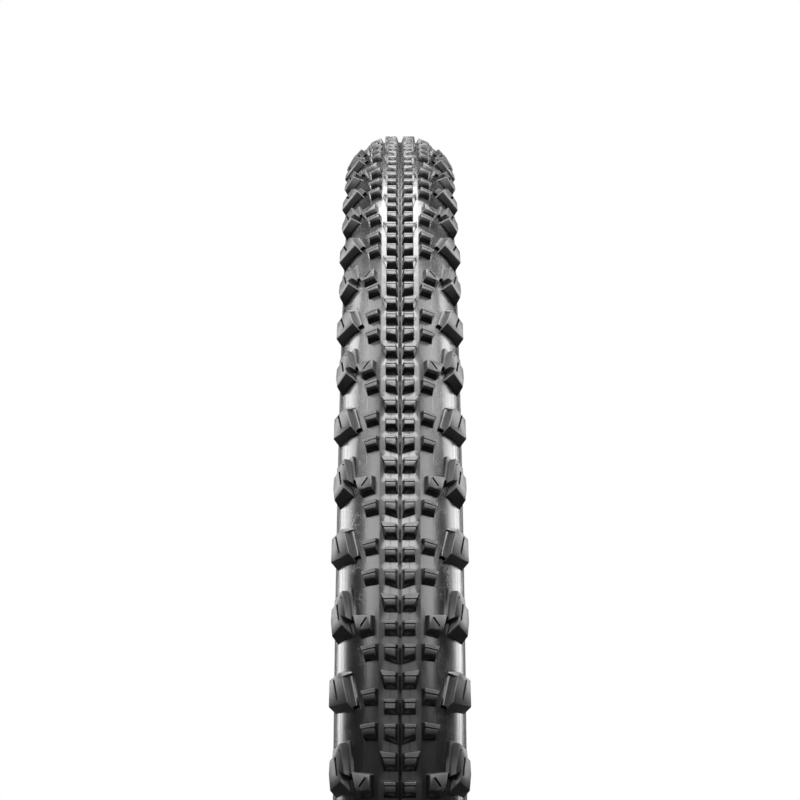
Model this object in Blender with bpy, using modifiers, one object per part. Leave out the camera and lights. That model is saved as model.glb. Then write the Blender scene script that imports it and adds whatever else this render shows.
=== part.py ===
"""Gravel bicycle tyre, size 40-622, as the layers that it is moulded from.

The wheel turns about world Y and its centre is the origin. Every piece is turned about the
local Z of the wheel_axis empty, which points along world -Y, so a profile point is (radius,
axial), and the rows of knobs run up the side of the tyre that faces +X.
"""
import math

import bmesh
import bpy
from mathutils import Matrix, Vector

MM = 0.001

# Tyre size
TYRE_RADIUS = 351.0 * MM  # over the centre knobs, so the tyre is 702 mm across
SECTION_CENTRE = 329.3 * MM  # wheel radius at the middle of the round section
SECTION_RADIUS = 20.0 * MM  # outside of the casing rubber, so the casing is 40 mm wide
KNOB_REACH = 22.4 * MM  # from the middle of the section to the tops of the small outer knobs
LUG_REACH = 22.9 * MM  # the same, to the corners of the shoulder lugs
SEGMENTS = 33  # facets round the wheel, each under eight rows of knobs

# Layers of the wall, as thickness, with a bond line between neighbours
BOND = 0.2 * MM
SIDEWALL = 0.8 * MM
TREAD = 1.1 * MM
BREAKER = 0.5 * MM
PLY = 0.4 * MM
LINER = 0.3 * MM
CHAFER = 0.5 * MM
CROWN_ROOM = 1.0 * MM  # how much deeper the plies lie under the tread than in the sidewall

# Angles round the section, in degrees from the crown
CROWN_EDGE = 16.3  # the crown is flat from here to the same angle on the other side
SHOULDER_STRIP_EDGE = 17.2
BELT_ANGLE = 38.0
TREAD_EDGE = 75.0
SIDEWALL_TOP = 76.0
NECK_ANGLE = 112.0

# Beads
BEAD_AXIAL = 9.6 * MM  # middle of each bead core, from the tyre's centre plane
BEAD_RADIUS = 313.0 * MM
CORE_RADIUS = 1.15 * MM
CORE_SIDES = 6
NECK_RADIUS = 315.2 * MM  # where the wall leaves the upright face of the bead
TURN_UP_RADIUS = 314.9 * MM
FILLER_TIP = (318.85 * MM, 14.0 * MM)
CHAFER_RISE = 2.0 * MM  # how far the rim strip's outer face stands above the middle of the core
LAP = 0.15 * MM  # small step where one layer ends beside the next

# Tread pattern: six rows of knobs, repeated round the tyre
REPEATS = 44
ROWS = 6
FIRST_ROW = 0.5  # a facet's edge lies midway between two rows
KNOB_ROOT = 0.45 * MM  # how deep a knob's blank starts inside its strip
FOOT_SHARE = 1.1  # a knob's foot, as a share of its top
PLAIN_KNOB = (3.5 * MM, (9.0 * MM, 9.0 * MM))  # length along the tread, and width at both ends
WEDGE_KNOB = (3.9 * MM, (8.6 * MM, 9.8 * MM))
ARROW_KNOB = (3.8 * MM, (9.0 * MM, 9.0 * MM))
SMALL_KNOB = (3.8 * MM, (3.6 * MM, 3.6 * MM))
SMALL_KNOB_ROWS = (2.12, 3.39, 5.10)
SMALL_KNOB_ANGLE = 25.5
LUG_WIDTH = 10.2 * MM
LUG_ANGLE = 56.8
LONG_LUG = (1.0, 13.0 * MM)  # row of its middle, and length
SHORT_LUG = (3.88, 11.0 * MM)

RUBBER = (0.022, 0.022, 0.023)
SIDEWALL_RUBBER = (0.030, 0.030, 0.031)
BUTYL = (0.012, 0.012, 0.013)
NYLON = (0.16, 0.14, 0.11)
BREAKER_CLOTH = (0.32, 0.27, 0.16)
CHAFER_CLOTH = (0.045, 0.045, 0.05)
ARAMID = (0.62, 0.44, 0.10)
BEAD_RUBBER = (0.035, 0.033, 0.032)


def clear_scene():
    for old in list(bpy.data.objects):
        bpy.data.objects.remove(old, do_unlink=True)


def collection(name):
    made = bpy.data.collections.new(name)
    bpy.context.scene.collection.children.link(made)
    return made


def material(name, colour, roughness):
    made = bpy.data.materials.new(name)
    made.use_nodes = True
    shader = made.node_tree.nodes["Principled BSDF"]
    shader.inputs["Base Color"].default_value = (*colour, 1.0)
    shader.inputs["Roughness"].default_value = roughness
    shader.inputs["Metallic"].default_value = 0.0
    return made


def wall(depth, degrees):
    """Profile point at this depth under the rubber's outside, at this angle from the crown."""
    reach = SECTION_RADIUS - depth
    angle = math.radians(degrees)
    return SECTION_CENTRE + reach * math.cos(angle), reach * math.sin(angle)


def under_tread(depth, degrees):
    """The same point for a ply, which dips below the tread and the breaker at the crown."""
    share = (NECK_ANGLE - abs(degrees)) / (NECK_ANGLE - BELT_ANGLE)
    return wall(depth + CROWN_ROOM * min(1.0, share), degrees)


def flipped(profile):
    return [(radius, -axial) for radius, axial in profile]


def mirrored(half):
    """A whole profile from its +Y half, which starts and ends beside the centre plane."""
    return half + list(reversed(flipped(half)))


def ring(name, profile, finish, group, axis):
    """Turns a closed profile of (radius, axial) points about the wheel's axis."""
    pairs = zip(profile, profile[1:] + profile[:1])
    area = sum(r0 * a1 - r1 * a0 for (r0, a0), (r1, a1) in pairs)
    if area > 0:
        profile = profile[::-1]
    mesh = bpy.data.meshes.new(name)
    count = len(profile)
    points = [(radius, 0.0, axial) for radius, axial in profile]
    mesh.from_pydata(points, [(i, (i + 1) % count) for i in range(count)], [])
    mesh.materials.append(finish)
    made = bpy.data.objects.new(name, mesh)
    made.parent = axis
    group.objects.link(made)
    turn = made.modifiers.new("turn", "SCREW")
    turn.axis = "Z"
    turn.angle = math.tau
    turn.screw_offset = 0.0
    turn.steps = SEGMENTS
    turn.render_steps = SEGMENTS
    turn.use_merge_vertices = True
    turn.merge_threshold = 0.01 * MM
    turn.use_smooth_shade = True
    return made


# The plies' own depths in the sidewall, from the outside in
OUTER_PLY = SIDEWALL + BOND
INNER_PLY = OUTER_PLY + PLY + BOND
LINER_TOP = INNER_PLY + PLY + BOND

# Section angles of each layer's corners
PLY_STATIONS = (CROWN_EDGE, BELT_ANGLE, TREAD_EDGE, NECK_ANGLE)
SIDEWALL_OUTER_STATIONS = (SIDEWALL_TOP, 90.0, 103.0, 116.0)
SIDEWALL_INNER_STATIONS = (NECK_ANGLE, 94.0, SIDEWALL_TOP)

# How far each layer stands off the middle of the bead core
WRAP_INSIDE = CORE_RADIUS + BOND
WRAP_OUTSIDE = WRAP_INSIDE + PLY
CHAFER_TOE = WRAP_OUTSIDE + BOND + CHAFER
OUTER_PLY_LEG = WRAP_OUTSIDE + BOND
CHAFER_LEG = OUTER_PLY_LEG + PLY + BOND
HEM_OUTSIDE = CHAFER_LEG + CHAFER + 0.65 * MM
HEM_INSIDE = CHAFER_LEG + CHAFER - LAP


def bead_core():
    step = math.tau / CORE_SIDES
    return [
        (BEAD_RADIUS + CORE_RADIUS * math.cos(i * step), BEAD_AXIAL + CORE_RADIUS * math.sin(i * step))
        for i in range(CORE_SIDES)
    ]


def bead_filler():
    """A wedge that fills the fork between the inner ply and its turn-up, above the core."""
    foot = BEAD_RADIUS + CORE_RADIUS + BOND + LAP
    half_width = CORE_RADIUS - LAP / 3
    inside = BEAD_AXIAL - half_width
    outside = BEAD_AXIAL + half_width
    return [(foot, inside), (foot, outside), (NECK_RADIUS, outside), FILLER_TIP]


def inner_ply():
    """Runs from bead to bead and folds round each core, ending beside it."""
    bottom = BEAD_RADIUS - WRAP_OUTSIDE
    floor = BEAD_RADIUS - WRAP_INSIDE
    inner = [under_tread(INNER_PLY + PLY, angle) for angle in PLY_STATIONS]
    outer = [under_tread(INNER_PLY, angle) for angle in reversed(PLY_STATIONS)]
    fold = [
        (NECK_RADIUS, BEAD_AXIAL - WRAP_OUTSIDE),
        (bottom, BEAD_AXIAL - WRAP_OUTSIDE),
        (bottom, BEAD_AXIAL + WRAP_OUTSIDE),
        (TURN_UP_RADIUS, BEAD_AXIAL + WRAP_OUTSIDE),
        (TURN_UP_RADIUS, BEAD_AXIAL + WRAP_INSIDE),
        (floor, BEAD_AXIAL + WRAP_INSIDE),
        (floor, BEAD_AXIAL - WRAP_INSIDE),
        (NECK_RADIUS, BEAD_AXIAL - WRAP_INSIDE),
    ]
    return mirrored(inner + fold + outer)


def outer_ply():
    """Runs over the first ply at the other bias angle, and stops at the heel of each bead."""
    end = BEAD_RADIUS - CORE_RADIUS - BOND
    inside = BEAD_AXIAL + OUTER_PLY_LEG
    inner = [under_tread(OUTER_PLY + PLY, angle) for angle in PLY_STATIONS]
    outer = [under_tread(OUTER_PLY, angle) for angle in reversed(PLY_STATIONS)]
    leg = [
        (NECK_RADIUS, inside),
        (end, inside),
        (end, inside + PLY),
        (NECK_RADIUS, inside + PLY),
    ]
    return mirrored(inner + leg + outer)


def inner_liner():
    """The airtight film inside, from above one bead toe to above the other."""
    inner = [under_tread(LINER_TOP + LINER, angle) for angle in PLY_STATIONS]
    outer = [under_tread(LINER_TOP, angle) for angle in reversed(PLY_STATIONS)]
    toe = BEAD_AXIAL - WRAP_INSIDE - LAP / 3
    foot = NECK_RADIUS + 4 * LAP
    hem = [(foot + LAP, toe - LAP), (foot, toe)]
    return mirrored(inner + hem + outer)


def puncture_breaker():
    top = TREAD + BOND
    lower = [wall(top + BREAKER, angle) for angle in (CROWN_EDGE, BELT_ANGLE)]
    upper = [wall(top, angle) for angle in (BELT_ANGLE, CROWN_EDGE)]
    return mirrored(lower + upper)


def chafer():
    """The rim strip: a cloth hook round the toe, the seat and the flat outer face of a bead."""
    seat = BEAD_RADIUS - CHAFER_TOE
    toe = BEAD_AXIAL - CHAFER_TOE
    face = BEAD_AXIAL + CHAFER_LEG + CHAFER
    face_top = BEAD_RADIUS + CHAFER_RISE
    toe_top = face_top - LAP
    return [
        (toe_top, toe),
        (seat, toe),
        (seat, face),
        (face_top, face),
        (face_top, face - CHAFER),
        (seat + CHAFER, face - CHAFER),
        (seat + CHAFER, toe + CHAFER),
        (toe_top, toe + CHAFER),
    ]


def sidewall():
    """The thin outer rubber, from the tread's edge to the top of the rim strip."""
    foot = NECK_RADIUS + LAP
    hem = [(foot, BEAD_AXIAL + HEM_OUTSIDE), (foot + LAP, BEAD_AXIAL + HEM_INSIDE)]
    outer = [wall(0.0, angle) for angle in SIDEWALL_OUTER_STATIONS]
    inner = [wall(SIDEWALL, angle) for angle in SIDEWALL_INNER_STATIONS]
    return outer + hem + inner


def tread_strip(angles):
    upper = [wall(0.0, angle) for angle in angles]
    lower = [wall(TREAD, angle) for angle in reversed(angles)]
    return upper + lower


def facet_drop(turn, radius):
    """How far the strip's facets lie inside their true circle, at this angle round the wheel."""
    facet = math.tau / SEGMENTS
    return radius * (1.0 - math.cos(facet / 2) / math.cos(turn % facet - facet / 2))


def place_knob(bm, row, length, widths, degrees, top, foot):
    """One knob blank, a cube drawn out to a block that is wider at its foot.

    row is the place along the tread, in rows. widths are the top's at its two ends. degrees is
    the section angle that the block stands at. top and foot are heights over the middle of the
    round section.
    """
    turn = (row + FIRST_ROW) * math.tau / (REPEATS * ROWS)
    lean = math.radians(degrees)
    drop = facet_drop(turn, SECTION_CENTRE + foot * math.cos(lean)) * math.cos(lean)
    stand = Matrix.Rotation(turn, 4, "Z") @ Matrix.Translation((SECTION_CENTRE, 0.0, 0.0))
    stand = stand @ Matrix.Rotation(-lean, 4, "Y")
    for vertex in bmesh.ops.create_cube(bm, size=2.0)["verts"]:
        out, ahead, across = (round(value) for value in vertex.co)
        share = 1.0 if out > 0 else FOOT_SHARE
        height = top if out > 0 else foot - drop - KNOB_ROOT
        width = widths[1] if ahead > 0 else widths[0]
        vertex.co = stand @ Vector((height, ahead * share * length / 2, across * share * width / 2))


def blanks(name, group, axis, knobs):
    """All the knob blanks of one strip, as one helper that its Boolean joins to it."""
    bm = bmesh.new()
    for repeat in range(REPEATS):
        for row, *shape in knobs:
            place_knob(bm, repeat * ROWS + row, *shape)
    bmesh.ops.recalc_face_normals(bm, faces=bm.faces)
    mesh = bpy.data.meshes.new(name)
    bm.to_mesh(mesh)
    bm.free()
    made = bpy.data.objects.new(name, mesh)
    made.parent = axis
    made.hide_render = True
    made.display_type = "WIRE"
    group.objects.link(made)
    return made


def join_knobs(strip, knobs):
    union = strip.modifiers.new("knobs", "BOOLEAN")
    union.operation = "UNION"
    union.solver = "EXACT"
    union.object = knobs


def chord(first, last):
    """Height of a strip's flat between two section angles, over the middle of the section."""
    return SECTION_RADIUS * math.cos(math.radians(last - first) / 2)


def centre_knobs():
    """Pairs of ramped knobs over the centre line: plain, wedge and arrow, twice a repeat."""
    foot = chord(-CROWN_EDGE, CROWN_EDGE)
    top = TYRE_RADIUS - SECTION_CENTRE
    kinds = (PLAIN_KNOB, WEDGE_KNOB, ARROW_KNOB)
    return [(row, *kinds[row % len(kinds)], 0.0, top, foot) for row in range(ROWS)]


def shoulder_knobs(side):
    """Three small knobs and two long lugs on one side of the tread, and a knob beside a lug."""
    inner_foot = chord(SHOULDER_STRIP_EDGE, BELT_ANGLE)
    outer_foot = chord(BELT_ANGLE, TREAD_EDGE)
    lug_top = math.sqrt(LUG_REACH**2 - (LUG_WIDTH / 2) ** 2)
    small = (*SMALL_KNOB, side * SMALL_KNOB_ANGLE, KNOB_REACH, inner_foot)
    lug = ((LUG_WIDTH, LUG_WIDTH), side * LUG_ANGLE, lug_top, outer_foot)
    return [(row, *small) for row in SMALL_KNOB_ROWS] + [
        (row, length, *lug) for row, length in (LONG_LUG, SHORT_LUG)
    ]


def build():
    clear_scene()
    parts = collection("bicycle_tire")
    helpers = collection("knob_blanks")
    axis = bpy.data.objects.new("wheel_axis", None)
    axis.rotation_euler = (math.pi / 2, 0.0, 0.0)
    parts.objects.link(axis)

    centre_rubber = material("tread_centre_rubber", RUBBER, 0.55)
    ring("inner_liner", inner_liner(), material("liner_butyl", BUTYL, 0.45), parts, axis)
    ring("inner_casing_ply", inner_ply(), material("inner_ply_nylon", NYLON, 0.8), parts, axis)
    ring("outer_casing_ply", outer_ply(), material("outer_ply_nylon", NYLON, 0.8), parts, axis)
    breaker_cloth = material("breaker_cloth", BREAKER_CLOTH, 0.85)
    ring("puncture_breaker", puncture_breaker(), breaker_cloth, parts, axis)

    centre_angles = (-CROWN_EDGE, CROWN_EDGE)
    centre = ring("tread_center", tread_strip(centre_angles), centre_rubber, parts, axis)
    join_knobs(centre, blanks("center_knob_blanks", helpers, axis, centre_knobs()))

    shoulder_angles = (SHOULDER_STRIP_EDGE, BELT_ANGLE, TREAD_EDGE)
    for side, word in ((1, "left"), (-1, "right")):
        place = list if side > 0 else flipped
        core = material(f"bead_aramid_{word}", ARAMID, 0.6)
        ring(f"bead_core_{word}", place(bead_core()), core, parts, axis)
        filler = material(f"bead_filler_{word}", BEAD_RUBBER, 0.6)
        ring(f"bead_filler_{word}", place(bead_filler()), filler, parts, axis)
        cloth = material(f"chafer_cloth_{word}", CHAFER_CLOTH, 0.8)
        ring(f"rim_strip_{word}", place(chafer()), cloth, parts, axis)
        skin = material(f"sidewall_rubber_{word}", SIDEWALL_RUBBER, 0.5)
        ring(f"sidewall_{word}", place(sidewall()), skin, parts, axis)
        rubber = material(f"tread_shoulder_rubber_{word}", RUBBER, 0.55)
        profile = place(tread_strip(shoulder_angles))
        strip = ring(f"tread_shoulder_{word}", profile, rubber, parts, axis)
        knobs = blanks(f"shoulder_knob_blanks_{word}", helpers, axis, shoulder_knobs(side))
        join_knobs(strip, knobs)


build()
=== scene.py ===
# A gravel bicycle tyre, size 40-622, made as its rubber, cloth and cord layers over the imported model
import math

import bpy
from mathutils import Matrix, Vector


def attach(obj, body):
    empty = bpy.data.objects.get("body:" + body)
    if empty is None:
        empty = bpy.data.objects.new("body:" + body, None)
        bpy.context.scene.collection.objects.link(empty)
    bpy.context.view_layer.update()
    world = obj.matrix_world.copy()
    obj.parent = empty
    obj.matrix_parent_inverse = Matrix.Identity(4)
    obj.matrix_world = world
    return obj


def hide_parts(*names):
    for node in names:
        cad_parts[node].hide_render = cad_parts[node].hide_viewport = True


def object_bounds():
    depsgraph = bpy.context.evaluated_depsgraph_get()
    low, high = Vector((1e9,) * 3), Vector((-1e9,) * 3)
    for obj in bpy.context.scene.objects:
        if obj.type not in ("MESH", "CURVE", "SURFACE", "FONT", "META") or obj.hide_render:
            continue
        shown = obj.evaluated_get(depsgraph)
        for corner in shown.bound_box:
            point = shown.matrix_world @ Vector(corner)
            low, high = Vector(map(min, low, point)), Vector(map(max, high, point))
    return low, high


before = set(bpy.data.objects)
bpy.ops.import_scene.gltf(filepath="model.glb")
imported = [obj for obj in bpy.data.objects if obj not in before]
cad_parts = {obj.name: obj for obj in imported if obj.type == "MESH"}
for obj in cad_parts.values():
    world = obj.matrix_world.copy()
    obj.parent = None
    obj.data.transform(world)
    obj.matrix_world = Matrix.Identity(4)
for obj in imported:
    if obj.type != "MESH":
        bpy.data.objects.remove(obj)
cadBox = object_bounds()
mm = 0.001
mergeWithin = 2e-6  # in metres

tyre = {
    "outerRadius": 351.0,
    "sectionCentre": 329.3,  # wheel radius at the middle of the round section, in mm
    "casingReach": 20.0,
    "crownDip": 0.75,  # how much flatter than round the crown is
    "crownFlat": 18.0,  # how far across it is flatter, in degrees
    "crownEdge": 18.3,  # section angle where the centre strip meets the shoulders, in degrees
    "treadEdge": 75.5,
    "repeats": 44,
    "rows": 6,
    "firstRow": 0.5,
    "tread": 1.1,  # thicknesses of the layers
    "sidewall": 0.8,
    "bond": 0.2,
    "breaker": 0.5,
    "ply": 0.4,
    "liner": 0.3,
    "crownRoom": 1.0,  # how much deeper the plies lie under the tread
    "beltAngle": 38.0,
    "neckAngle": 112.0,
    "beadRadius": 313.0,
    "beadAxial": 9.6,
    "coreRadius": 1.15,
    "steps": 352,
}
rowTurn = math.tau / (tyre["repeats"] * tyre["rows"])
rowLength = tyre["outerRadius"] * rowTurn
tileLength = rowLength * tyre["rows"]
sides = ((1, "right"), (-1, "left"))


# small helpers around the mesh operators
def deselectAll():
    if bpy.context.object and bpy.context.object.mode != "OBJECT":
        bpy.ops.object.mode_set(mode="OBJECT")
    bpy.ops.object.select_all(action="DESELECT")


def activate(piece):
    deselectAll()
    piece.select_set(True)
    bpy.context.view_layer.objects.active = piece


def editAll(piece):
    activate(piece)
    bpy.ops.object.mode_set(mode="EDIT")
    bpy.ops.mesh.select_all(action="SELECT")


def leaveEdit():
    bpy.ops.object.mode_set(mode="OBJECT")


def pickVertices(piece, test):
    # selects by place, and leaves the piece in edit mode
    activate(piece)
    bpy.ops.object.mode_set(mode="EDIT")
    bpy.ops.mesh.select_mode(type="VERT")
    bpy.ops.mesh.select_all(action="DESELECT")
    leaveEdit()
    for vertex in piece.data.vertices:
        vertex.select = test(vertex.co)
    bpy.ops.object.mode_set(mode="EDIT")


def nudge(piece, test, offset):
    pickVertices(piece, test)
    bpy.ops.transform.translate(value=offset)
    leaveEdit()


def tidyNormals(piece):
    editAll(piece)
    bpy.ops.mesh.remove_doubles(threshold=mergeWithin)
    bpy.ops.mesh.normals_make_consistent(inside=False)
    leaveEdit()


def finishPiece(piece, name, material, replaced, smoothAngle):
    piece.name = name
    piece.data.name = name
    piece.data.materials.clear()
    piece.data.materials.append(material)
    activate(piece)
    bpy.ops.object.shade_smooth_by_angle(angle=math.radians(smoothAngle))
    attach(piece, "root")
    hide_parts(replaced)
    faces = sum(len(face.vertices) - 2 for face in piece.data.polygons)
    print(f"{name}: {faces} triangles")


# the camera and the studio round the tyre; powers are in watts
studio = {
    "lens": 110.7,
    "distance": 1.0674,
    "elevation": 24.84,
    "pitch": 11.76,
    "floorHalf": 40.0,
    "floorWhite": 1.0,
    "floorShade": 0.05,  # how pale the floor is in reflections
    "room": 0.12,
    "roomLow": 0.06,
    "aim": (0.1, 0, 0),
    "boxes": {  # place, width, depth and power
        "topBox": ((0, 0, 2.4), 1.1, 2.0, 105),
        "backBox": ((-1.6, 0, 1.9), 1.6, 1.2, 56),
        "frontBox": ((1.3, 0, 2.2), 1.6, 1.2, 10),
        "rightStrip": ((-1.4, 1.7, 0.5), 1.0, 1.6, 36),
        "leftStrip": ((-1.4, -1.7, 0.5), 1.0, 1.6, 36),
        "rightBox": ((-1.0, 1.4, 1.9), 1.0, 1.0, 20),
        "leftBox": ((-1.0, -1.4, 1.9), 1.0, 1.0, 20),
        "rightTopBox": ((0.2, 1.5, 1.9), 1.0, 1.0, 26),
        "leftTopBox": ((0.2, -1.5, 1.9), 1.0, 1.0, 26),
    },
}


def makeCamera():
    lift = math.radians(studio["elevation"])
    data = bpy.data.cameras.new("camera")
    data.lens = studio["lens"]
    data.sensor_width = 36.0
    data.clip_end = 200.0
    camera = bpy.data.objects.new("camera", data)
    camera.location = (studio["distance"] * math.cos(lift), 0, studio["distance"] * math.sin(lift))
    camera.rotation_euler = (math.radians(90 - studio["pitch"]), 0, math.radians(90))
    bpy.context.scene.collection.objects.link(camera)
    bpy.context.scene.camera = camera


def makeFloor():
    # a white sweep that the camera sees evenly lit, and that reflections see as paper
    deselectAll()
    bpy.ops.mesh.primitive_plane_add(size=2 * studio["floorHalf"], location=(0, 0, cadBox[0].z))
    floor = bpy.context.object
    floor.name = "floor"
    paper = bpy.data.materials.new("whitePaper")
    paper.use_nodes = True
    tree = paper.node_tree
    tree.nodes.clear()
    seen = tree.nodes.new("ShaderNodeEmission")
    seen.inputs["Strength"].default_value = studio["floorWhite"]
    paperShade = tree.nodes.new("ShaderNodeBsdfDiffuse")
    paperShade.inputs["Color"].default_value = (*[studio["floorShade"]] * 3, 1)
    path = tree.nodes.new("ShaderNodeLightPath")
    mix = tree.nodes.new("ShaderNodeMixShader")
    out = tree.nodes.new("ShaderNodeOutputMaterial")
    tree.links.new(path.outputs["Is Camera Ray"], mix.inputs["Fac"])
    tree.links.new(paperShade.outputs["BSDF"], mix.inputs[1])
    tree.links.new(seen.outputs["Emission"], mix.inputs[2])
    tree.links.new(mix.outputs["Shader"], out.inputs["Surface"])
    floor.data.materials.append(paper)


def makeRoom():
    # white behind the object for the camera, and to light a dim room, darker low down
    world = bpy.data.worlds.new("studio")
    bpy.context.scene.world = world
    world.use_nodes = True
    tree = world.node_tree
    place = tree.nodes.new("ShaderNodeTexCoord")
    split = tree.nodes.new("ShaderNodeSeparateXYZ")
    tree.links.new(place.outputs["Generated"], split.inputs["Vector"])
    glow = ramp(tree, split.outputs["Z"], 0.0, 0.7, studio["roomLow"], studio["room"])
    path = tree.nodes.new("ShaderNodeLightPath")
    strength = tree.nodes.new("ShaderNodeMix")
    wire(tree, path.outputs["Is Camera Ray"], strength.inputs["Factor"])
    wire(tree, glow, strength.inputs["A"])
    strength.inputs["B"].default_value = studio["floorWhite"]
    shade = tree.nodes["Background"]
    shade.inputs["Color"].default_value = (1, 1, 1, 1)
    tree.links.new(strength.outputs["Result"], shade.inputs["Strength"])


def makeLight(name, place, target, width, depth, power):
    data = bpy.data.lights.new(name, "AREA")
    data.shape = "RECTANGLE"
    data.size = width
    data.size_y = depth
    data.energy = power
    light = bpy.data.objects.new(name, data)
    light.location = place
    light.rotation_euler = (Vector(place) - Vector(target)).to_track_quat("Z", "Y").to_euler()
    light.visible_camera = False
    bpy.context.scene.collection.objects.link(light)


# short forms for building node trees
def wire(tree, value, socket):
    if isinstance(value, bpy.types.NodeSocket):
        tree.links.new(value, socket)
    else:
        socket.default_value = value


def calc(tree, operation, first, second=None, third=None, clamp=False):
    made = tree.nodes.new("ShaderNodeMath")
    made.operation = operation
    made.use_clamp = clamp
    for socket, value in zip(made.inputs, (first, second, third)):
        if value is not None:
            wire(tree, value, socket)
    return made.outputs[0]


def ramp(tree, value, low, high, fromValue=0.0, toValue=1.0):
    # a smooth step between two values
    made = tree.nodes.new("ShaderNodeMapRange")
    made.interpolation_type = "SMOOTHSTEP"
    limits = {"From Min": low, "From Max": high, "To Min": fromValue, "To Max": toValue}
    for label, limit in limits.items():
        made.inputs[label].default_value = limit
    wire(tree, value, made.inputs["Value"])
    return made.outputs["Result"]


def blendColour(tree, share, first, second):
    made = tree.nodes.new("ShaderNodeMix")
    made.data_type = "RGBA"
    wire(tree, share, made.inputs["Factor"])
    wire(tree, first, made.inputs[6])
    wire(tree, second, made.inputs[7])
    return made.outputs[2]


def noise(tree, vector, scale, detail=2.0, rough=0.5):
    made = tree.nodes.new("ShaderNodeTexNoise")
    tree.links.new(vector, made.inputs["Vector"])
    made.inputs["Scale"].default_value = scale
    made.inputs["Detail"].default_value = detail
    made.inputs["Roughness"].default_value = rough
    return made.outputs["Fac"]


def newGroup(name, inputs, outputs):
    group = bpy.data.node_groups.new(name, "ShaderNodeTree")
    for label, kind in inputs:
        group.interface.new_socket(name=label, in_out="INPUT", socket_type=kind)
    for label in outputs:
        group.interface.new_socket(name=label, in_out="OUTPUT", socket_type="NodeSocketFloat")
    return group, group.nodes.new("NodeGroupInput").outputs, group.nodes.new("NodeGroupOutput").inputs


def useGroup(tree, group, **values):
    made = tree.nodes.new("ShaderNodeGroup")
    made.node_tree = group
    for label, value in values.items():
        wire(tree, value, made.inputs[label])
    return made.outputs


valueKind = "NodeSocketFloat"
vectorKind = "NodeSocketVector"


def times(tree, first, second):
    return calc(tree, "MULTIPLY", first, second)


def longSide(tree, first, second):
    # the long side of the right triangle that has these two sides
    return calc(tree, "SQRT", calc(tree, "MULTIPLY_ADD", first, first, times(tree, second, second)))


def sectionGroup():
    # where a point lies on the tyre: mm round it, degrees from the crown, mm from the section's middle
    outputs = ["Around", "Across", "Reach", "Side"]
    group, given, out = newGroup("tyreSection", [("Vector", vectorKind)], outputs)
    split = group.nodes.new("ShaderNodeSeparateXYZ")
    group.links.new(given["Vector"], split.inputs["Vector"])
    x, y, z = (times(group, split.outputs[axis], 1 / mm) for axis in "XYZ")
    up = calc(group, "SUBTRACT", longSide(group, x, z), tyre["sectionCentre"])
    turn = calc(group, "ARCTAN2", z, x)
    group.links.new(times(group, turn, tyre["outerRadius"]), out["Around"])
    angle = calc(group, "ARCTAN2", calc(group, "ABSOLUTE", y), up)
    group.links.new(calc(group, "DEGREES", angle), out["Across"])
    group.links.new(longSide(group, y, up), out["Reach"])
    group.links.new(y, out["Side"])
    return group


grainScale = {"fine": 3200.0, "slow": 90.0, "stipple": 1500.0, "stippleDot": (0.15, 0.5)}


def grainGroup():
    # moulded rubber: a fine spark-eroded grain, a slow unevenness and round dots
    group, given, out = newGroup("rubberGrain", [("Vector", vectorKind)], ["Fine", "Slow", "Stipple"])
    group.links.new(noise(group, given["Vector"], grainScale["fine"], 3.0, 0.6), out["Fine"])
    group.links.new(noise(group, given["Vector"], grainScale["slow"], 3.0, 0.6), out["Slow"])
    dots = group.nodes.new("ShaderNodeTexVoronoi")
    group.links.new(given["Vector"], dots.inputs["Vector"])
    dots.inputs["Scale"].default_value = grainScale["stipple"]
    dot = ramp(group, dots.outputs["Distance"], *grainScale["stippleDot"], 1.0, 0.0)
    group.links.new(dot, out["Stipple"])
    return group


def lineGroup():
    # a fine raised line at one place across, Width wide on each side
    inputs = [(label, valueKind) for label in ("Across", "Place", "Width")]
    group, given, out = newGroup("mouldLine", inputs, ["Mask"])
    away = calc(group, "ABSOLUTE", calc(group, "SUBTRACT", given["Across"], given["Place"]))
    share = calc(group, "DIVIDE", away, given["Width"])
    group.links.new(ramp(group, share, 0.4, 1.0, 1.0, 0.0), out["Mask"])
    return group


ventShape = {"inner": 0.22, "outer": 0.38, "perDegree": 0.37}  # in mm


def ventGroup():
    # the round mark of a vent, once in every repeat of the pattern
    inputs = [(label, valueKind) for label in ("Around", "Across", "Row", "Angle")]
    group, given, out = newGroup("ventMark", inputs, ["Mask"])
    start = calc(group, "MULTIPLY_ADD", given["Row"], -rowLength, -tyre["firstRow"] * rowLength)
    shifted = calc(group, "ADD", calc(group, "ADD", given["Around"], start), tileLength / 2)
    along = calc(group, "SUBTRACT", calc(group, "FLOORED_MODULO", shifted, tileLength), tileLength / 2)
    across = times(group, calc(group, "SUBTRACT", given["Across"], given["Angle"]), ventShape["perDegree"])
    mark = ramp(group, longSide(group, along, across), ventShape["inner"], ventShape["outer"], 1.0, 0.0)
    group.links.new(mark, out["Mask"])
    return group


def weaveGroup():
    # plain cloth, with both sets of threads Pitch apart
    inputs = [(label, valueKind) for label in ("Around", "Along", "Pitch")]
    group, given, out = newGroup("clothWeave", inputs, ["Height"])
    warp = calc(group, "DIVIDE", times(group, given["Around"], math.pi), given["Pitch"])
    weft = calc(group, "DIVIDE", times(group, given["Along"], math.pi), given["Pitch"])
    crossed = times(group, calc(group, "SINE", warp), calc(group, "SINE", weft))
    warpOnTop = ramp(group, crossed, -0.1, 0.1)
    weftOnTop = ramp(group, crossed, -0.1, 0.1, 1.0, 0.0)
    over = times(group, calc(group, "ABSOLUTE", calc(group, "COSINE", warp)), warpOnTop)
    under = times(group, calc(group, "ABSOLUTE", calc(group, "COSINE", weft)), weftOnTop)
    group.links.new(calc(group, "ADD", over, under), out["Height"])
    return group


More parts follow.
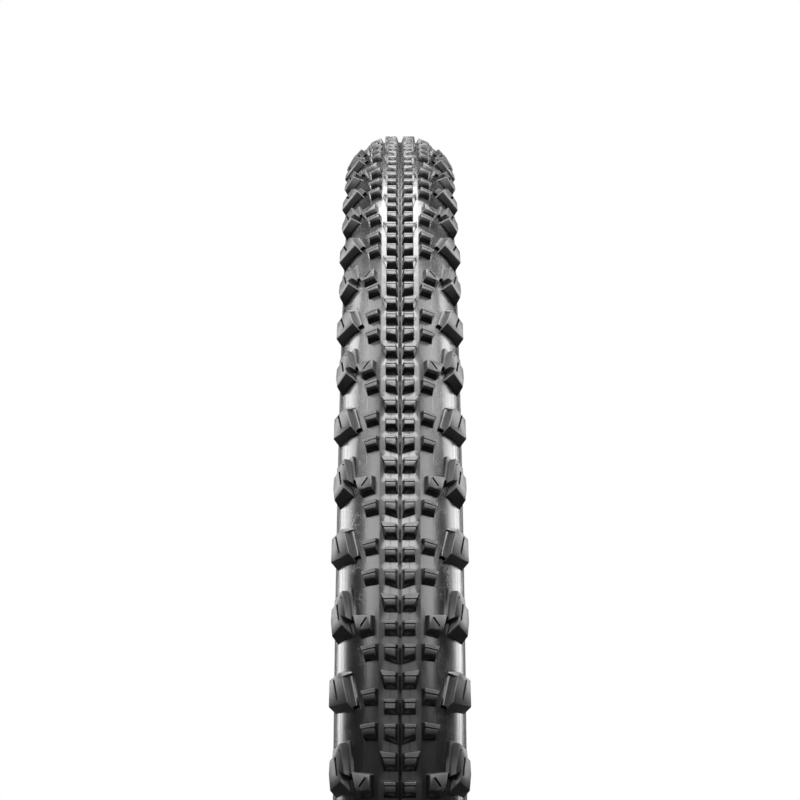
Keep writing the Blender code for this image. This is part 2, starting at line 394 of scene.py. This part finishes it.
def cordGroup():
    # parallel cords at a bias angle, Pitch apart
    inputs = [(label, valueKind) for label in ("Around", "Along", "Pitch", "Lean")]
    group, given, out = newGroup("biasCords", inputs, ["Height"])
    skewed = calc(group, "MULTIPLY_ADD", given["Along"], given["Lean"], given["Around"])
    wave = calc(group, "SINE", calc(group, "DIVIDE", times(group, skewed, math.tau), given["Pitch"]))
    group.links.new(calc(group, "MULTIPLY_ADD", wave, 0.5, 0.5), out["Height"])
    return group


groups = {
    "section": sectionGroup(),
    "grain": grainGroup(),
    "line": lineGroup(),
    "vent": ventGroup(),
    "weave": weaveGroup(),
    "cords": cordGroup(),
}


def newMaterial(name):
    made = bpy.data.materials.new(name)
    made.use_nodes = True
    tree = made.node_tree
    shader = tree.nodes["Principled BSDF"]
    place = tree.nodes.new("ShaderNodeTexCoord").outputs["Object"]
    section = useGroup(tree, groups["section"], Vector=place)
    grain = useGroup(tree, groups["grain"], Vector=place)
    return made, tree, shader, section, grain


def paint(tree, shader, share, look):
    wire(tree, blendColour(tree, share, (*look["dark"], 1), (*look["pale"], 1)), shader.inputs["Base Color"])


def roughen(tree, shader, slow, look):
    # the roughness, with its slow unevenness
    wire(tree, calc(tree, "MULTIPLY_ADD", slow, look["uneven"], look["rough"]), shader.inputs["Roughness"])


def addBump(tree, shader, height, distance, strength=1.0):
    # distance in mm
    bump = tree.nodes.new("ShaderNodeBump")
    bump.inputs["Strength"].default_value = strength
    bump.inputs["Distance"].default_value = distance * mm
    wire(tree, height, bump.inputs["Height"])
    if shader.inputs["Normal"].is_linked:
        tree.links.new(shader.inputs["Normal"].links[0].from_socket, bump.inputs["Normal"])
    tree.links.new(bump.outputs["Normal"], shader.inputs["Normal"])


treadLook = {
    "dark": (0.0035, 0.0035, 0.0038),  # the glossy base and the knob walls; the darker colour on the walls is painted shade
    "pale": (0.014, 0.014, 0.0145),  # the matt tops; their paler colour is partly the matt finish, partly painted highlight
    "baseRough": 0.25,
    "topRough": 0.44,
    "uneven": 0.10,
    "topShare": 0.8,
    "topReach": (21.4, 21.6),
    "ledgeReach": (20.45, 20.65),  # the matt ledges beside the lugs, given the tops' paler colour: partly finish, partly painted highlight
    "ledgeAcross": (37.0, 41.0),
    "stippleAcross": (30.0, 36.0, 46.0, 54.0),
    "stipplePatch": (0.46, 0.56),
    "stippleHeight": 0.035,
    "lines": (8.6, 31.5, 57.5, 63.0, 68.0, 72.5),  # section angles of the fine moulded lines
    "lineWidth": 0.4,
    "lineHeight": 0.05,
    "vents": ((0.30, 9.0), (2.16, 27.0), (5.16, 27.0), (3.30, 10.0), (0.0, 30.0), (3.95, 60.0)),  # row, angle
    "ventDepth": 0.06,
    "fineHeight": 0.03,
    "fineOnBase": 0.3,
}


def treadMaterial(name):
    look = treadLook
    made, tree, shader, section, grain = newMaterial(name)
    reach, across = section["Reach"], section["Across"]
    isLedge = times(tree, ramp(tree, reach, *look["ledgeReach"]), ramp(tree, across, *look["ledgeAcross"]))
    isTop = calc(tree, "MAXIMUM", ramp(tree, reach, *look["topReach"]), isLedge)
    worn = calc(tree, "SUBTRACT", times(tree, grain["Slow"], 0.5), 0.2)
    # tops and ledges painted paler, walls and base darker: partly the matt finish, partly painted highlight
    # and painted shade
    paint(tree, shader, calc(tree, "MULTIPLY_ADD", isTop, look["topShare"], worn, True), look)
    rough = ramp(tree, isTop, 0.0, 1.0, look["baseRough"], look["topRough"])
    balanced = calc(tree, "SUBTRACT", grain["Slow"], 0.5)
    roughen(tree, shader, balanced, {"uneven": look["uneven"], "rough": rough})
    onBase = calc(tree, "SUBTRACT", 1.0, isTop)
    start, full, fade, end = look["stippleAcross"]
    band = times(tree, ramp(tree, across, start, full), ramp(tree, across, fade, end, 1.0, 0.0))
    patch = times(tree, band, ramp(tree, grain["Slow"], *look["stipplePatch"]))
    stipple = times(tree, grain["Stipple"], times(tree, patch, onBase))
    addBump(tree, shader, stipple, look["stippleHeight"])
    for place in look["lines"]:
        line = useGroup(tree, groups["line"], Across=across, Place=place, Width=look["lineWidth"])["Mask"]
        addBump(tree, shader, times(tree, line, onBase), look["lineHeight"])
    for row, angle in look["vents"]:
        mark = useGroup(tree, groups["vent"], Around=section["Around"], Across=across, Row=row, Angle=angle)
        addBump(tree, shader, mark["Mask"], -look["ventDepth"])
    fine = times(tree, grain["Fine"], ramp(tree, isTop, 0.0, 1.0, look["fineOnBase"], 1.0))
    addBump(tree, shader, fine, look["fineHeight"], 0.7)
    return made


sidewallLook = {
    "dark": (0.004, 0.004, 0.0042),
    "pale": (0.009, 0.009, 0.0095),
    "rough": 0.30,
    "uneven": 0.2,
    "perDegree": 0.349,  # mm along the wall for each degree
    "cordPitch": 1.0,
    "cordHeight": 0.012,
    "lines": ((79.0, 0.5), (84.0, 0.35), (101.0, 0.5), (103.5, 0.35), (106.0, 0.5)),  # angle and half width
    "lineHeight": 0.07,
}


def sidewallMaterial(name):
    look = sidewallLook
    made, tree, shader, section, grain = newMaterial(name)
    paint(tree, shader, grain["Slow"], look)
    roughen(tree, shader, grain["Slow"], look)
    along = times(tree, section["Across"], look["perDegree"])
    pattern = {"Around": section["Around"], "Along": along, "Pitch": look["cordPitch"]}
    for lean in (1.0, -1.0):
        cords = useGroup(tree, groups["cords"], Lean=lean, **pattern)
        addBump(tree, shader, cords["Height"], look["cordHeight"])
    for place, width in look["lines"]:
        line = useGroup(tree, groups["line"], Across=section["Across"], Place=place, Width=width)
        addBump(tree, shader, line["Mask"], look["lineHeight"])
    addBump(tree, shader, grain["Fine"], 0.03, 0.6)
    return made


breakerLook = {
    "dark": (0.14, 0.10, 0.04),
    "pale": (0.42, 0.34, 0.17),
    "pitch": 0.45,
    "rough": 0.6,
    "uneven": 0.2,
}
rimStripLook = {
    "dark": (0.006, 0.006, 0.007),
    "pale": (0.035, 0.035, 0.037),
    "pitch": 0.5,
    "rough": 0.5,
    "uneven": 0.2,
}


def clothMaterial(name, look):
    # rubbed-in cloth, as on the rim strips and the breaker
    made, tree, shader, section, grain = newMaterial(name)
    along = calc(tree, "ADD", section["Reach"], calc(tree, "ABSOLUTE", section["Side"]))
    woven = useGroup(tree, groups["weave"], Around=section["Around"], Along=along, Pitch=look["pitch"])
    rubbed = calc(tree, "MULTIPLY_ADD", grain["Slow"], 0.8, 0.4)
    paint(tree, shader, calc(tree, "MULTIPLY", woven["Height"], rubbed, None, True), look)
    roughen(tree, shader, grain["Slow"], look)
    addBump(tree, shader, woven["Height"], 0.10)
    addBump(tree, shader, grain["Fine"], 0.02, 0.5)
    return made


plyLook = {
    "dark": (0.05, 0.045, 0.04),
    "pale": (0.22, 0.20, 0.16),
    "rough": 0.6,
    "uneven": 0.2,
    "perDegree": 0.33,  # mm along the ply for each degree
    "pitch": 0.42,
    "cordHeight": 0.12,
}


def plyMaterial(name, lean):
    # rubberised nylon cords, side by side at the bias angle
    look = plyLook
    made, tree, shader, section, grain = newMaterial(name)
    pattern = {"Around": section["Around"], "Along": times(tree, section["Across"], look["perDegree"])}
    cords = useGroup(tree, groups["cords"], Pitch=look["pitch"], Lean=lean, **pattern)["Height"]
    paint(tree, shader, times(tree, cords, grain["Slow"]), look)
    roughen(tree, shader, grain["Slow"], look)
    addBump(tree, shader, cords, look["cordHeight"])
    return made


linerLook = {"dark": (0.008, 0.008, 0.009), "pale": (0.022, 0.022, 0.023), "rough": 0.3, "uneven": 0.25}


def linerMaterial(name):
    # airtight butyl, with the faint print of the forming bladder
    made, tree, shader, section, grain = newMaterial(name)
    paint(tree, shader, grain["Slow"], linerLook)
    roughen(tree, shader, grain["Slow"], linerLook)
    pattern = {"Around": section["Around"], "Along": section["Side"], "Pitch": 2.2, "Lean": 0.6}
    addBump(tree, shader, useGroup(tree, groups["cords"], **pattern)["Height"], 0.05)
    addBump(tree, shader, grain["Fine"], 0.03, 0.5)
    return made


coreLook = {"dark": (0.30, 0.19, 0.03), "pale": (0.66, 0.48, 0.13), "rough": 0.45, "uneven": 0.2}


def coreMaterial(name):
    # twisted aramid yarn
    made, tree, shader, section, grain = newMaterial(name)
    pattern = {"Around": section["Around"], "Along": section["Side"], "Pitch": 0.5, "Lean": 1.5}
    yarn = useGroup(tree, groups["cords"], **pattern)["Height"]
    paint(tree, shader, yarn, coreLook)
    roughen(tree, shader, grain["Slow"], coreLook)
    addBump(tree, shader, yarn, 0.08)
    return made


fillerLook = {"dark": (0.014, 0.013, 0.013), "pale": (0.030, 0.029, 0.028), "rough": 0.5, "uneven": 0.2}


def fillerMaterial(name):
    made, tree, shader, section, grain = newMaterial(name)
    paint(tree, shader, grain["Slow"], fillerLook)
    roughen(tree, shader, grain["Slow"], fillerLook)
    addBump(tree, shader, grain["Fine"], 0.03, 0.5)
    return made


# the turned layers, from the air side outwards; lengths are in mm
def crownDip(degrees):
    share = min(1.0, abs(degrees) / tyre["crownFlat"])
    return tyre["crownDip"] * (1 - share**2) ** 2


def wallPoint(depth, degrees):
    # (wheel radius, axial) this deep under the rubber's outside
    reach = tyre["casingReach"] - crownDip(degrees) - depth
    angle = math.radians(degrees)
    return tyre["sectionCentre"] + reach * math.cos(angle), reach * math.sin(angle)


def plyPoint(depth, degrees):
    share = (tyre["neckAngle"] - abs(degrees)) / (tyre["neckAngle"] - tyre["beltAngle"])
    return wallPoint(depth + tyre["crownRoom"] * min(1.0, share), degrees)


def spread(first, last, count):
    return [first + (last - first) * i / (count - 1) for i in range(count)]


def flipped(section):
    return [(radius, -axial) for radius, axial in section]


def bothSides(half):
    return half + flipped(half)[::-1]


def arc(radius, axial, size, first, last, count=5):
    # part of a round corner about (radius, axial), by angles from straight out
    turns = [math.radians(angle) for angle in spread(first, last, count)]
    return [(radius + size * math.cos(turn), axial + size * math.sin(turn)) for turn in turns]


def turnRing(section, steps):
    deselectAll()
    bpy.ops.mesh.primitive_circle_add(vertices=len(section), fill_type="NOTHING")
    ring = bpy.context.object
    for vertex, (radius, axial) in zip(ring.data.vertices, section):
        vertex.co = (radius * mm, axial * mm, 0)
    editAll(ring)
    bpy.ops.mesh.spin(steps=steps, angle=math.tau, center=(0, 0, 0), axis=(0, 1, 0))
    leaveEdit()
    tidyNormals(ring)
    return ring


outerPly = tyre["sidewall"] + tyre["bond"]
innerPly = outerPly + tyre["ply"] + tyre["bond"]
linerTop = innerPly + tyre["ply"] + tyre["bond"]
foldInside = tyre["coreRadius"] + tyre["bond"]
foldOutside = foldInside + tyre["ply"]
plyAngles = spread(0.4, tyre["neckAngle"], 30)
plyEnds = {
    "neck": 315.2,  # wheel radii where a ply leaves the round section, and where it stops
    "fold": 314.9,
    "apron": 311.65,
    "liner": ((316.0, 8.02), (315.76, 8.2)),
}


def linerSection():
    inner = [plyPoint(linerTop + tyre["liner"], angle) for angle in plyAngles]
    outer = [plyPoint(linerTop, angle) for angle in plyAngles]
    return bothSides(inner + list(plyEnds["liner"]) + outer[::-1])


def innerPlySection():
    inner = [plyPoint(innerPly + tyre["ply"], angle) for angle in plyAngles]
    outer = [plyPoint(innerPly, angle) for angle in plyAngles]
    middle = (tyre["beadRadius"], tyre["beadAxial"])
    neck, end = plyEnds["neck"], plyEnds["fold"]
    fold = [(neck, middle[1] - foldOutside), *arc(*middle, foldOutside, 270, 90, 13)]
    fold += [(end, middle[1] + foldOutside), (end, middle[1] + foldInside)]
    fold += [*arc(*middle, foldInside, 90, 270, 13), (neck, middle[1] - foldInside)]
    return bothSides(inner + fold + outer[::-1])


def outerPlySection():
    inner = [plyPoint(outerPly + tyre["ply"], angle) for angle in plyAngles]
    outer = [plyPoint(outerPly, angle) for angle in plyAngles]
    neck, end = plyEnds["neck"], plyEnds["apron"]
    near = tyre["beadAxial"] + foldOutside + tyre["bond"]
    far = near + tyre["ply"]
    return bothSides(inner + [(neck, near), (end, near), (end, far), (neck, far)] + outer[::-1])


def breakerSection():
    angles = spread(0.4, tyre["beltAngle"], 14)
    top = tyre["tread"] + tyre["bond"]
    lower = [wallPoint(top + tyre["breaker"], angle) for angle in angles]
    return bothSides(lower + [wallPoint(top, angle) for angle in angles[::-1]])


filler = {
    "gap": 0.35,
    "foot": (8.6, 10.6),
    "crest": ((315.2, 10.65), (316.4, 11.55), (318.85, 14.0), (316.2, 10.9)),
}


def fillerSection():
    foot = tyre["beadRadius"] + tyre["coreRadius"] + filler["gap"]
    return [(foot, axial) for axial in filler["foot"]] + list(filler["crest"])


rimStrip = {
    "toe": (311.35, 7.95),
    "heel": (311.35, 11.85),
    "outside": 0.8,  # corner sizes
    "inside": 0.3,
    "innerEnd": 314.85,
    "outerEnd": 315.0,
}


def rimStripSection():
    # a cloth hook round the toe, the seat and the flat outer face of the bead
    toe, heel, outside, inside = (rimStrip[key] for key in ("toe", "heel", "outside", "inside"))
    innerEnd, outerEnd = rimStrip["innerEnd"], rimStrip["outerEnd"]
    outer = [(innerEnd, toe[1] - outside), *arc(*toe, outside, 270, 180), *arc(*heel, outside, 180, 90)]
    outer += [(outerEnd, heel[1] + outside)]
    inner = [(outerEnd, heel[1] + inside), *arc(*heel, inside, 90, 180), *arc(*toe, inside, 180, 270)]
    return outer + inner + [(innerEnd, toe[1] - inside)]


sidewall = {
    "end": 116.0,
    "ribs": ((109.0, 0.16, 0.9), (92.0, 0.12, 0.7)),  # angle, height and width
    "heel": ((319.1, 16.75), (317.8, 15.5), (317.3, 15.25), (316.9, 14.75), (316.1, 14.0)),
    "hem": ((315.35, 13.3), (315.42, 12.85), (315.5, 12.5)),
}


def sidewallSection():
    outer = []
    for angle in spread(tyre["treadEdge"], sidewall["end"], 34):
        rise = 0.0
        for place, height, width in sidewall["ribs"]:
            rise += height * math.exp(-((angle - place) / width) ** 2)
        outer.append(wallPoint(-rise, angle))
    inner = [wallPoint(tyre["sidewall"], angle) for angle in spread(tyre["neckAngle"], tyre["treadEdge"], 16)]
    return outer + list(sidewall["heel"]) + list(sidewall["hem"]) + inner


core = {"strands": 6, "pointsEach": 4, "groove": 0.07, "twistPitch": 60.0, "rings": 704}


def coreRing(side):
    # strands laid side by side, twisted as they go round the wheel
    radius, axial = tyre["beadRadius"], side * tyre["beadAxial"]
    points = core["pointsEach"] * core["strands"]
    deselectAll()
    bpy.ops.mesh.primitive_circle_add(vertices=points, fill_type="NOTHING")
    ring = bpy.context.object
    for index, vertex in enumerate(ring.data.vertices):
        turn = math.tau * index / points
        bulge = abs(math.cos(core["strands"] * turn / 2)) ** 0.5
        size = tyre["coreRadius"] * (1 - core["groove"] + core["groove"] * bulge)
        vertex.co = ((radius + size * math.cos(turn)) * mm, (axial + size * math.sin(turn)) * mm, 0)
    editAll(ring)
    bpy.ops.mesh.spin(steps=core["rings"], angle=math.tau, center=(0, 0, 0), axis=(0, 1, 0))
    leaveEdit()
    turns = round(math.tau * radius / core["twistPitch"])
    for vertex in ring.data.vertices:
        angle = math.atan2(vertex.co.z, vertex.co.x)
        up = math.hypot(vertex.co.x, vertex.co.z) / mm - radius
        out = vertex.co.y / mm - axial
        size, place = math.hypot(up, out), math.atan2(out, up) + turns * angle
        wheel = (radius + size * math.cos(place)) * mm
        vertex.co = (wheel * math.cos(angle), (axial + size * math.sin(place)) * mm, wheel * math.sin(angle))
    tidyNormals(ring)
    return ring


def turnPiece(section, name, material, node, smoothAngle=40):
    finishPiece(turnRing(section, tyre["steps"]), name, material, node, smoothAngle)


def makeLayers():
    innerNylon, outerNylon = plyMaterial("innerPlyNylon", 1.0), plyMaterial("outerPlyNylon", -1.0)
    turnPiece(linerSection(), "innerLiner", linerMaterial("butylLiner"), "inner_liner")
    turnPiece(innerPlySection(), "innerPly", innerNylon, "inner_casing_ply")
    turnPiece(outerPlySection(), "outerPly", outerNylon, "outer_casing_ply")
    breaker = clothMaterial("breakerCloth", breakerLook)
    turnPiece(breakerSection(), "punctureBreaker", breaker, "puncture_breaker")
    for side, word in sides:
        turned = list if side > 0 else flipped
        title = word.capitalize()
        yarn = coreMaterial("aramid" + title)
        finishPiece(coreRing(side), "beadCore" + title, yarn, "bead_core_" + word, 60)
        hard = fillerMaterial("fillerRubber" + title)
        turnPiece(turned(fillerSection()), "beadFiller" + title, hard, "bead_filler_" + word)
        hook = turned(rimStripSection())
        strip = clothMaterial("rimStripCloth" + title, rimStripLook)
        turnPiece(hook, "rimStrip" + title, strip, "rim_strip_" + word, 50)
        skin = sidewallMaterial("sidewallRubber" + title)
        turnPiece(turned(sidewallSection()), "sidewall" + title, skin, "sidewall_" + word)
    print("layers turned")


# the tread is modelled flat as one repeat, and then wrapped
def flat(row, degrees, height=0.0):
    return Vector((row * rowLength, tyre["casingReach"] * math.radians(degrees), height))


def raiseBlock(foot, top, edge, sink=0.5):
    # a moulded block between two outlines, the foot's of (row, section angle), the top's with heights too
    deselectAll()
    bpy.ops.mesh.primitive_circle_add(vertices=len(foot), fill_type="NGON")
    block = bpy.context.object
    for vertex, place in zip(block.data.vertices, foot):
        vertex.co = flat(*place, -sink)
    editAll(block)
    bpy.ops.mesh.extrude_region_move(TRANSFORM_OT_translate={"value": (0, 0, 10)})
    leaveEdit()
    below = [flat(*place).to_2d() for place in foot]
    for vertex in block.data.vertices:
        if vertex.co.z > 5:
            nearest = min(range(len(foot)), key=lambda i: (below[i] - vertex.co.to_2d()).length)
            vertex.co = flat(*top[nearest])
    editAll(block)
    bpy.ops.mesh.normals_make_consistent(inside=False)
    bpy.ops.mesh.select_mode(type="EDGE")
    bpy.ops.mesh.select_all(action="DESELECT")
    leaveEdit()
    for line in block.data.edges:
        line.select = any(block.data.vertices[i].co.z > -sink + 0.01 for i in line.vertices)
    bpy.ops.object.mode_set(mode="EDIT")
    bpy.ops.mesh.bevel(offset=edge, segments=1, affect="EDGES")
    leaveEdit()
    return block


def combine(target, tool, operation):
    modifier = target.modifiers.new("join", "BOOLEAN")
    modifier.operation = operation
    modifier.solver = "EXACT"
    modifier.object = tool
    activate(target)
    bpy.ops.object.modifier_apply(modifier="join")
    bpy.data.objects.remove(tool)


def slotCutter(first, last, width, bottom):
    # a thin blade between two places, down to this height
    start, end = flat(*first), flat(*last)
    along = end - start
    deselectAll()
    bpy.ops.mesh.primitive_cube_add(size=1)
    blade = bpy.context.object
    blade.scale = (along.length, width, 6.0)
    blade.rotation_euler.z = math.atan2(along.y, along.x)
    blade.location = (start + end) / 2 + Vector((0, 0, bottom + 3.0))
    bpy.ops.object.transform_apply(location=True, rotation=True, scale=True)
    return blade


def baseTile(stations):
    # a closed slab one repeat long, with an edge at each section angle
    low, high = (flat(0, angle).y for angle in (stations[0], stations[-1]))
    first = -tyre["firstRow"] * rowLength
    deselectAll()
    bpy.ops.mesh.primitive_cube_add(size=1)
    slab = bpy.context.object
    slab.scale = (tileLength, high - low, tyre["tread"])
    slab.location = (first + tileLength / 2, (low + high) / 2, -tyre["tread"] / 2)
    bpy.ops.object.transform_apply(location=True, rotation=True, scale=True)
    editAll(slab)
    for angle in stations[1:-1]:
        bpy.ops.mesh.select_all(action="SELECT")
        bpy.ops.mesh.bisect(plane_co=flat(0, angle), plane_no=(0, 1, 0))
    pieces = tyre["steps"] // tyre["repeats"]
    for i in range(1, pieces):
        bpy.ops.mesh.select_all(action="SELECT")
        bpy.ops.mesh.bisect(plane_co=(first + tileLength * i / pieces, 0, 0), plane_no=(1, 0, 0))
    leaveEdit()
    return slab


def openEnds(tile):
    first = -tyre["firstRow"] * rowLength
    ends = (first, first + tileLength)
    activate(tile)
    bpy.ops.object.mode_set(mode="EDIT")
    bpy.ops.mesh.select_mode(type="FACE")
    bpy.ops.mesh.select_all(action="DESELECT")
    leaveEdit()
    for face in tile.data.polygons:
        face.select = abs(face.normal.x) > 0.99 and min(abs(face.center.x - end) for end in ends) < 0.001
    bpy.ops.object.mode_set(mode="EDIT")
    bpy.ops.mesh.delete(type="FACE")
    leaveEdit()


def wrapTread(tile):
    # every repeat in a row, then the row bent round the section and round the wheel
    openEnds(tile)
    editAll(tile)
    bpy.ops.mesh.quads_convert_to_tris(quad_method="BEAUTY", ngon_method="BEAUTY")
    leaveEdit()
    repeat = tile.modifiers.new("repeat", "ARRAY")
    repeat.count = tyre["repeats"]
    repeat.use_relative_offset = False
    repeat.use_constant_offset = True
    repeat.constant_offset_displace = (tileLength, 0, 0)
    repeat.use_merge_vertices = True
    repeat.merge_threshold = 0.002
    activate(tile)
    bpy.ops.object.modifier_apply(modifier="repeat")
    for vertex in tile.data.vertices:
        turn = (vertex.co.x / rowLength + tyre["firstRow"]) * rowTurn
        lean = vertex.co.y / tyre["casingReach"]
        reach = tyre["casingReach"] - crownDip(math.degrees(lean)) + vertex.co.z
        radius = (tyre["sectionCentre"] + reach * math.cos(lean)) * mm
        vertex.co = (radius * math.cos(turn), reach * math.sin(lean) * mm, radius * math.sin(turn))
    tidyNormals(tile)


centreKnobs = {
    "stations": (0.4, 1.05, 1.85, 6.0, 12.0),
    "height": 2.45,
    "edge": 0.14,
    "plain": {
        "top": ((-0.20, 3.7), (-0.20, 11.7), (0.15, 11.9), (0.15, 3.7)),
        "foot": ((-0.38, 1.2), (-0.37, 13.9), (0.25, 14.2), (0.25, 1.2)),
        "sipe": 0.02,
    },
    "wedge": {
        "top": ((0.76, 3.8), (0.76, 11.3), (1.25, 15.5), (1.17, 3.8)),
        "foot": ((0.56, 1.4), (0.57, 14.0), (1.36, 18.1), (1.28, 1.4)),
        "sipe": 1.01,
    },
    "arrow": {
        "top": ((1.75, 3.7), (1.87, 11.6), (2.22, 12.0), (2.24, 3.7)),
        "foot": ((1.50, 1.3), (1.68, 13.8), (2.34, 14.2), (2.36, 1.3)),
        "sipe": 2.09,
    },
    "sipeAcross": (1.9, 18.2),
    "sipeWidth": 0.40,
    "sipeFloor": 0.85,
    "mould": ((0.0, -0.45), (1.05, 0.10)),  # the parting line's groove and the rails beside it
}


def makeCentre():
    look = centreKnobs
    half = [*look["stations"], tyre["crownEdge"]]
    tile = baseTile([-angle for angle in half[::-1]] + [0.0] + half)
    for angle, lift in look["mould"]:
        place = flat(0, angle).y
        nudge(tile, lambda co: abs(abs(co.y) - place) < 1e-4 and co.z > -0.01, (0, 0, lift))
    for start in (0, 3):
        for kind in ("plain", "wedge", "arrow"):
            shape = look[kind]
            for side in (1, -1):
                foot = [(start + row, side * angle) for row, angle in shape["foot"]]
                top = [(start + row, side * angle, look["height"]) for row, angle in shape["top"]]
                combine(tile, raiseBlock(foot, top, look["edge"]), "UNION")
                row = start + shape["sipe"]
                ends = [(row, side * angle) for angle in look["sipeAcross"]]
                combine(tile, slotCutter(*ends, look["sipeWidth"], look["sipeFloor"]), "DIFFERENCE")
    wrapTread(tile)
    finishPiece(tile, "treadCentre", treadMaterial("treadCentreRubber"), "tread_center", 32)


shoulderKnobs = {
    "stations": (24, 30, 36, 42, 48, 54, 60, 66, 71),
    "edge": 0.16,
    "ledgeEdge": 0.08,
    "small": {
        "rows": (2.12, 3.39, 5.10),
        "top": ((-0.20, 20.0, 2.35), (-0.20, 28.8, 2.35), (0.18, 32.2, 2.3), (0.20, 20.0, 2.35)),
        "foot": ((-0.40, 18.6), (-0.38, 31.8), (0.30, 35.5), (0.32, 18.6)),
        "sipe": ((0.03, 18.6), (0.0, 34.4)),
    },
    "sipeWidth": 0.40,
    "sipeFloor": 0.9,
    "tee": {
        "top": (
            (-0.10, 23.8, 2.4), (-0.11, 33.6, 2.4), (0.04, 36.0, 2.4), (0.64, 40.4, 2.05), (0.43, 23.6, 2.4),
        ),
        "foot": ((-0.32, 22.2), (-0.34, 35.2), (-0.08, 39.5), (0.76, 44.0), (0.55, 22.2)),
        "slot": ((0.37, 26.9), (0.06, 32.4)),  # both ends of the cut
        "slotWidth": 0.65,
        "slotFloor": 0.9,
    },
    "longLug": {
        "top": (
            (1.79, 50.7, 2.85), (1.61, 60.6, 2.95), (1.34, 60.8, 3.0), (1.30, 65.6, 3.0), (0.80, 66.8, 3.0),
            (0.15, 63.8, 3.0), (0.37, 49.8, 2.95), (0.78, 52.3, 2.9), (0.60, 46.2, 2.75),
        ),
        "foot": (
            (1.93, 50.2), (1.80, 64.5), (1.52, 68.5), (1.48, 74.2), (0.80, 74.9),
            (-0.05, 71.0), (-0.15, 43.0), (0.40, 47.0), (0.52, 43.5),
        ),
        "ledge": ((0.66, 42.6), (1.90, 45.8), (1.90, 53.0), (0.60, 50.0)),
        "sipe": ((1.33, 56.9), (0.62, 54.2)),
        "slit": ((1.46, 50.8), (1.57, 52.8)),
    },
    "shortLug": {
        "top": (
            (4.50, 51.6, 2.95), (4.42, 67.2, 3.1), (3.38, 67.6, 3.15),
            (3.22, 43.2, 2.8), (4.20, 48.6, 2.85), (4.32, 50.4, 2.85),
        ),
        "foot": (
            (4.68, 52.5), (4.62, 74.3), (3.20, 74.5), (2.85, 40.5), (4.30, 48.2), (4.56, 45.0),
        ),
        "ledge": ((3.12, 37.6), (4.33, 44.8), (4.33, 52.0), (3.10, 46.0)),
        "sipe": ((4.34, 60.2), (3.48, 54.9)),
    },
    "lugSlot": 0.75,
    "slitWidth": 0.3,
    "slotFloor": 1.5,
    "ledgeRise": (1.0, 0.8),  # height at the inner and the outer edge of the ledge beside a lug
    "ledgeFoot": 1.6,  # how many degrees the ledge's foot lies further in
}


def makeShoulder(side, word):
    look = shoulderKnobs
    stations = [tyre["crownEdge"], *look["stations"], tyre["treadEdge"]]
    tile = baseTile(stations if side > 0 else [-angle for angle in stations[::-1]])

    def placed(outline, row=0.0):
        return [(row + point[0], side * point[1], *point[2:]) for point in outline]

    def raised(foot, top, edge, row=0.0):
        combine(tile, raiseBlock(placed(foot, row), placed(top, row), edge), "UNION")

    def cut(ends, width, floor, row=0.0):
        combine(tile, slotCutter(*placed(ends, row), width, floor), "DIFFERENCE")

    small, tee = look["small"], look["tee"]
    for row in small["rows"]:
        raised(small["foot"], small["top"], look["edge"], row)
        cut(small["sipe"], look["sipeWidth"], look["sipeFloor"], row)
    raised(tee["foot"], tee["top"], look["edge"])
    inner, outer = look["ledgeRise"]
    for name in ("longLug", "shortLug"):
        lug = look[name]
        ledgeTop = [(*place, rise) for place, rise in zip(lug["ledge"], (inner, inner, outer, outer))]
        ledgeFoot = [(row, angle - look["ledgeFoot"]) for row, angle in lug["ledge"][:2]]
        raised(ledgeFoot + list(lug["ledge"][2:]), ledgeTop, look["ledgeEdge"])
        raised(lug["foot"], lug["top"], look["edge"])
        cut(lug["sipe"], look["lugSlot"], look["slotFloor"])
    cut(look["longLug"]["slit"], look["slitWidth"], look["slotFloor"])
    cut(tee["slot"], tee["slotWidth"], tee["slotFloor"])
    wrapTread(tile)
    title = word.capitalize()
    rubber = treadMaterial("treadShoulderRubber" + title)
    finishPiece(tile, "treadShoulder" + title, rubber, "tread_shoulder_" + word, 32)


makeCamera()
makeFloor()
makeRoom()
for name, (place, width, depth, power) in studio["boxes"].items():
    makeLight(name, place, studio["aim"], width, depth, power)
bpy.context.scene.view_settings.view_transform = "Standard"
print("studio ready")
makeLayers()
makeCentre()
for side, word in sides:
    makeShoulder(side, word)
print("tread wrapped")
